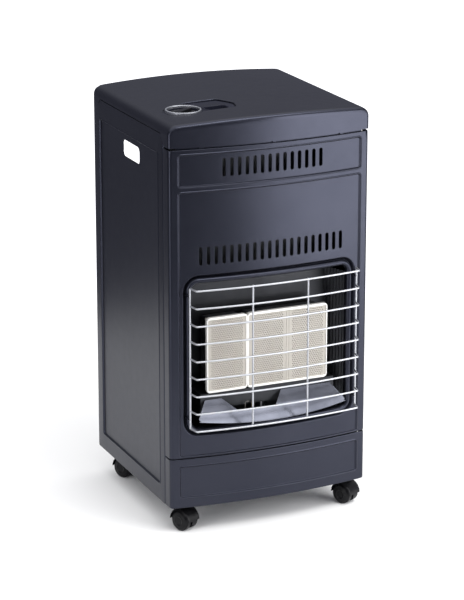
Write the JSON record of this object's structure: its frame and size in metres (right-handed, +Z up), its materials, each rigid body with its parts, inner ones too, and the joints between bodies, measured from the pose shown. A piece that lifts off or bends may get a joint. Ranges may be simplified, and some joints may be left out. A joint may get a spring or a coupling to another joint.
{
  "type": "portable gas cabinet heater",
  "caption": "Bow-fronted steel cabinet heater on swivelling casters: ceramic burner plaques behind a bowed wire guard, a knob and button in the lid, and a lift-off back cover.",
  "frame": {"origin": "on the floor, under the middle of the heater's overall width and depth", "axes": "+X to the right of somebody facing the front, +Y from the front to the back, +Z up"},
  "size_m": [0.402, 0.4315, 0.792],
  "materials": {
    "cabinet_paint": "satin",
    "lid_paint": "satin",
    "control_plastic": "satin",
    "silver_trim": "satin",
    "black_plastic": "satin",
    "zinc_steel": "satin",
    "dark_steel": "satin",
    "bright_steel": "satin",
    "polished_steel": "polished",
    "aluminised": "satin",
    "aluminium_pipe": "satin",
    "ceramic": "matte",
    "white_ceramic": "gloss",
    "brass": "satin",
    "guard_chrome": "polished"
  },
  "bodies": {
    "cabinet": {"front_panel": "cabinet_paint", "plinth_panel": "cabinet_paint", "side_panel_left": "cabinet_paint", "side_panel_right": "cabinet_paint", "lid": "lid_paint", "control_bezel": "control_plastic", "knob_ring": "silver_trim", "piezo_igniter": "black_plastic", "control_bracket": "zinc_steel", "gas_tap": "brass", "hose_tail": "brass", "base_pan": "zinc_steel", "caster_sockets": "zinc_steel", "partition": "zinc_steel", "rear_rail": "cabinet_paint", "firebox_back": "dark_steel", "firebox_floor": "dark_steel", "firebox_top": "dark_steel", "firebox_side_left": "dark_steel", "firebox_side_right": "dark_steel", "burner_frame_single": "aluminised", "burner_frame_double": "aluminised", "mixing_box_single": "dark_steel", "mixing_box_double": "dark_steel", "plaque_left": "ceramic", "plaque_middle": "ceramic", "plaque_right": "ceramic", "burner_bracket": "dark_steel", "reflector": "polished_steel", "injector_rail": "zinc_steel", "injectors": "brass", "feed_pipe_left": "aluminium_pipe", "feed_pipe_middle": "aluminium_pipe", "feed_pipe_right": "aluminium_pipe", "pilot_bracket": "dark_steel", "pilot_burner": "brass", "thermocouple": "bright_steel", "spark_electrode": "white_ceramic", "guard_wires": "guard_chrome", "guard_uprights": "guard_chrome"},
    "spindle": {"tap_spindle": "bright_steel"},
    "knob": {"control_knob": "black_plastic"},
    "button": {"piezo_button": "black_plastic"},
    "rear_cover": {"rear_cover": "cabinet_paint"},
    "caster_front_left": {"caster_front_left_hood": "black_plastic", "caster_front_left_stem": "bright_steel"},
    "wheels_front_left": {"caster_front_left_axle": "bright_steel", "caster_front_left_wheels": "black_plastic"},
    "caster_front_right": {"caster_front_right_hood": "black_plastic", "caster_front_right_stem": "bright_steel"},
    "wheels_front_right": {"caster_front_right_axle": "bright_steel", "caster_front_right_wheels": "black_plastic"},
    "caster_rear_left": {"caster_rear_left_hood": "black_plastic", "caster_rear_left_stem": "bright_steel"},
    "wheels_rear_left": {"caster_rear_left_axle": "bright_steel", "caster_rear_left_wheels": "black_plastic"},
    "caster_rear_right": {"caster_rear_right_hood": "black_plastic", "caster_rear_right_stem": "bright_steel"},
    "wheels_rear_right": {"caster_rear_right_axle": "bright_steel", "caster_rear_right_wheels": "black_plastic"}
  },
  "joints": [
    {"name": "knob_turn", "type": "hinge", "parent": "cabinet", "child": "spindle", "pos_m": [-0.131, -0.06535, 0.76], "axis": [0, 0, -1], "range_deg": [0, 210]},
    {"name": "knob_push", "type": "slide", "parent": "spindle", "child": "knob", "axis": [0, 0, -1], "range_m": [0, 0.003], "stiffness_N_per_m": 900, "springref_m": -0.001},
    {"name": "ignition_press", "type": "slide", "parent": "cabinet", "child": "button", "axis": [0, 0, -1], "range_m": [0, 0.005], "stiffness_N_per_m": 900, "springref_m": -0.001},
    {"name": "rear_cover_pull", "type": "slide", "parent": "cabinet", "child": "rear_cover", "axis": [0, 1, 0], "range_m": [0, 0.12]},
    {"name": "swivel_front_left", "type": "hinge", "parent": "cabinet", "child": "caster_front_left", "pos_m": [-0.168, -0.11835, 0.06], "axis": [0, 0, 1], "continuous": true},
    {"name": "roll_front_left", "type": "hinge", "parent": "caster_front_left", "child": "wheels_front_left", "pos_m": [-0.16074, -0.13261, 0.02], "axis": [0.891, 0.454, 0], "continuous": true},
    {"name": "swivel_front_right", "type": "hinge", "parent": "cabinet", "child": "caster_front_right", "pos_m": [0.168, -0.11835, 0.06], "axis": [0, 0, 1], "continuous": true},
    {"name": "roll_front_right", "type": "hinge", "parent": "caster_front_right", "child": "wheels_front_right", "pos_m": [0.17526, -0.13261, 0.02], "axis": [0.891, 0.454, 0], "continuous": true},
    {"name": "swivel_rear_left", "type": "hinge", "parent": "cabinet", "child": "caster_rear_left", "pos_m": [-0.168, 0.17965, 0.06], "axis": [0, 0, 1], "continuous": true},
    {"name": "roll_rear_left", "type": "hinge", "parent": "caster_rear_left", "child": "wheels_rear_left", "pos_m": [-0.16074, 0.16539, 0.02], "axis": [0.891, 0.454, 0], "continuous": true},
    {"name": "swivel_rear_right", "type": "hinge", "parent": "cabinet", "child": "caster_rear_right", "pos_m": [0.168, 0.17965, 0.06], "axis": [0, 0, 1], "continuous": true},
    {"name": "roll_rear_right", "type": "hinge", "parent": "caster_rear_right", "child": "wheels_rear_right", "pos_m": [0.17526, 0.16539, 0.02], "axis": [0.891, 0.454, 0], "continuous": true}
  ]
}
